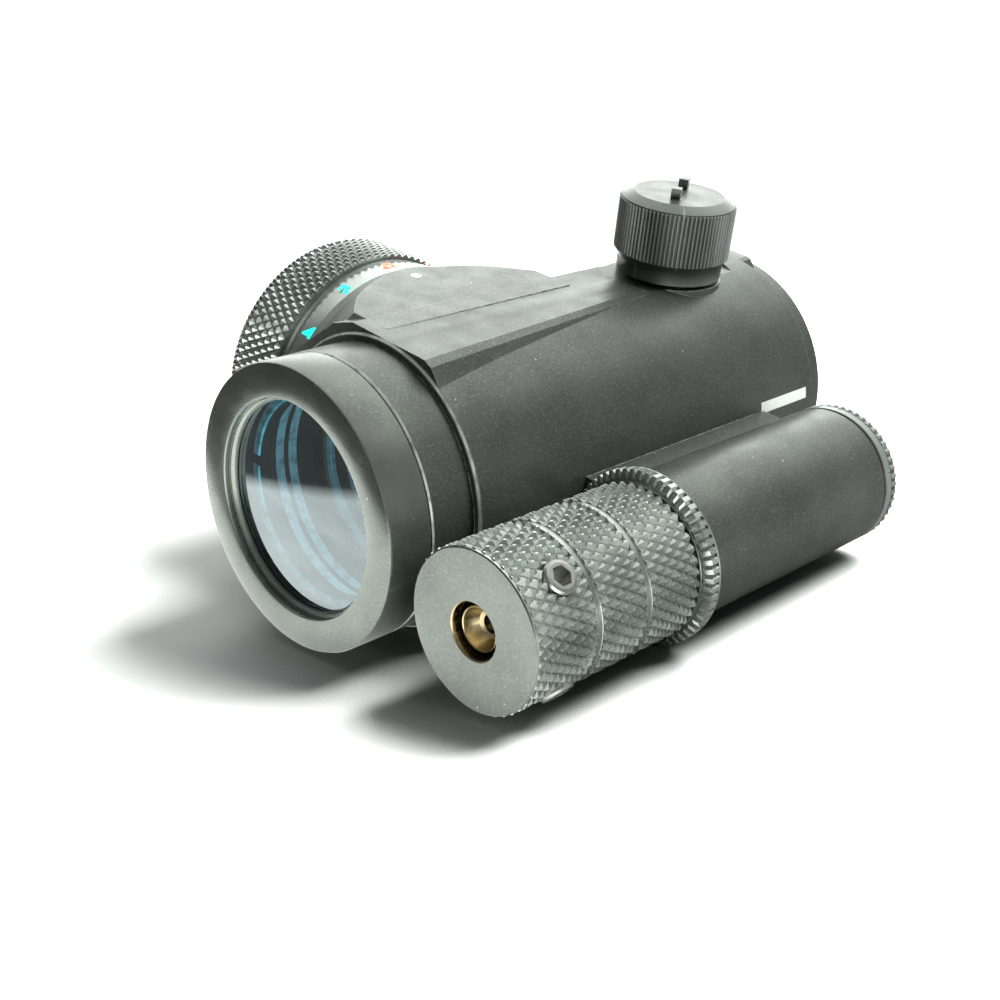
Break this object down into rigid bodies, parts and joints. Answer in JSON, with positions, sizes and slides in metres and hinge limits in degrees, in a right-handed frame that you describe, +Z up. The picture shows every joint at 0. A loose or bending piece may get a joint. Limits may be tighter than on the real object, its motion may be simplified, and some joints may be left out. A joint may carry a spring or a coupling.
{
  "type": "tube dot sight with side laser",
  "caption": "Compact tube-type red and green dot sight with a cylindrical aiming laser on its right side, a brightness dial on its left and capped adjustment turrets.",
  "frame": {"origin": "centre of the flat seat under the housing, 15.0 mm below the optical axis", "axes": "+X towards the laser, +Y from the objective to the eyepiece, +Z up through the elevation turret"},
  "size_m": [0.064, 0.072, 0.0418],
  "materials": {
    "body_anodised": "satin black anodised, fine grain",
    "knurl_anodised": "satin black anodised, knurled",
    "flat_black": "flat black anodised, light-absorbing",
    "coated_glass": "anti-reflection coated, blue reflection",
    "brass": "turned",
    "steel": "nickel plated",
    "cell_steel": "nickel plated can",
    "board": "green glass-fibre board",
    "black_plastic": "moulded",
    "rubber": "matt"
  },
  "bodies": {
    "housing": {"main_housing": "body_anodised", "objective_bezel": "body_anodised", "objective_lens": "coated_glass", "objective_retainer": "flat_black", "eyepiece_bezel": "body_anodised", "eyepiece_window": "coated_glass", "eyepiece_retainer": "flat_black", "return_spring": "steel", "battery_well": "body_anodised", "switch_board": "board", "coin_cell": "cell_steel", "battery_spring": "steel", "battery_seal": "rubber", "detent_ball": "steel", "detent_spring": "steel", "laser_barrel": "body_anodised", "laser_board": "board", "laser_spring": "steel", "laser_cell_1": "cell_steel", "laser_cell_2": "cell_steel", "laser_cell_3": "cell_steel"},
    "dial": {"dial_knob": "knurl_anodised", "switch_wiper": "brass"},
    "battery_cover": {"battery_cover": "knurl_anodised"},
    "elevation_cap": {"elevation_cap": "knurl_anodised"},
    "elevation_screw": {"elevation_screw": "steel"},
    "windage_cap": {"windage_cap": "knurl_anodised"},
    "windage_screw": {"windage_screw": "steel"},
    "tube_gimbal": {"tube_pivot_ring": "brass"},
    "aiming_tube": {"inner_tube": "flat_black", "emitter_bracket": "black_plastic", "dot_emitter": "steel"},
    "laser_head": {"laser_sleeve": "knurl_anodised"},
    "lock_ring": {"lock_ring": "knurl_anodised"},
    "set_screw_upper": {"set_screw_upper": "steel"},
    "set_screw_lower": {"set_screw_lower": "steel"},
    "module_gimbal": {"module_ring": "rubber"},
    "laser_module": {"laser_module": "brass", "laser_lens": "coated_glass"},
    "tail_cap": {"tail_cap": "knurl_anodised"},
    "tail_button": {"tail_button": "rubber"}
  },
  "joints": [
    {"name": "dial_turn", "type": "hinge", "parent": "housing", "child": "dial", "pos_m": [0, -0.01045, 0.015], "axis": [-1, 0, 0], "range_deg": [-122.5, 122.5]},
    {"name": "battery_cover_turn", "type": "hinge", "parent": "housing", "child": "battery_cover", "pos_m": [0, -0.01045, 0.015], "axis": [-1, 0, 0], "range_deg": [0, 450]},
    {"name": "elevation_cap_turn", "type": "hinge", "parent": "housing", "child": "elevation_cap", "pos_m": [0, 0.0165, 0.015], "axis": [0, 0, 1], "range_deg": [0, 450]},
    {"name": "elevation_screw_turn", "type": "hinge", "parent": "housing", "child": "elevation_screw", "pos_m": [0, 0.0165, 0.015], "axis": [0, 0, 1], "range_deg": [-360, 360]},
    {"name": "windage_cap_turn", "type": "hinge", "parent": "housing", "child": "windage_cap", "pos_m": [0, 0.0165, 0.015], "axis": [-1, 0, 0], "range_deg": [0, 450]},
    {"name": "windage_screw_turn", "type": "hinge", "parent": "housing", "child": "windage_screw", "pos_m": [0, 0.0165, 0.015], "axis": [-1, 0, 0], "range_deg": [-360, 360]},
    {"name": "tube_elevation_tilt", "type": "hinge", "parent": "housing", "child": "tube_gimbal", "pos_m": [0, -0.0247, 0.015], "axis": [1, 0, 0], "range_deg": [-0.427, 0.427]},
    {"name": "tube_windage_tilt", "type": "hinge", "parent": "tube_gimbal", "child": "aiming_tube", "pos_m": [0, -0.0247, 0.015], "axis": [0, 0, 1], "range_deg": [-0.427, 0.427]},
    {"name": "laser_head_turn", "type": "hinge", "parent": "housing", "child": "laser_head", "pos_m": [0.02542, -0.0267, 0.01358], "axis": [0, -1, 0], "range_deg": [0, 450]},
    {"name": "lock_ring_turn", "type": "hinge", "parent": "housing", "child": "lock_ring", "pos_m": [0.02542, -0.0141, 0.01358], "axis": [0, -1, 0], "range_deg": [-180, 180]},
    {"name": "set_screw_upper_turn", "type": "hinge", "parent": "laser_head", "child": "set_screw_upper", "pos_m": [0.02542, -0.0326, 0.01358], "axis": [0.6157, 0, 0.788], "range_deg": [-120, 120]},
    {"name": "set_screw_lower_turn", "type": "hinge", "parent": "laser_head", "child": "set_screw_lower", "pos_m": [0.02542, -0.0326, 0.01358], "axis": [0.788, 0, -0.6157], "range_deg": [-120, 120]},
    {"name": "laser_tilt_upper", "type": "hinge", "parent": "laser_head", "child": "module_gimbal", "pos_m": [0.02542, -0.0283, 0.01358], "axis": [0.788, 0, -0.6157], "range_deg": [-2.23, 2.23]},
    {"name": "laser_tilt_lower", "type": "hinge", "parent": "module_gimbal", "child": "laser_module", "pos_m": [0.02542, -0.0283, 0.01358], "axis": [-0.6157, 0, -0.788], "range_deg": [-2.23, 2.23]},
    {"name": "tail_cap_turn", "type": "hinge", "parent": "housing", "child": "tail_cap", "pos_m": [0.02542, 0.0193, 0.01358], "axis": [0, 1, 0], "range_deg": [0, 450]},
    {"name": "tail_button_press", "type": "slide", "parent": "tail_cap", "child": "tail_button", "axis": [0, -1, 0], "range_m": [0, 0.0008], "stiffness_N_per_m": 120}
  ],
  "couplings": [
    {"joint": "tube_elevation_tilt", "follows": "elevation_screw_turn", "ratio": 0.001159},
    {"joint": "tube_windage_tilt", "follows": "windage_screw_turn", "ratio": -0.001159},
    {"joint": "laser_tilt_upper", "follows": "set_screw_upper_turn", "ratio": -0.01851},
    {"joint": "laser_tilt_lower", "follows": "set_screw_lower_turn", "ratio": -0.01851}
  ]
}
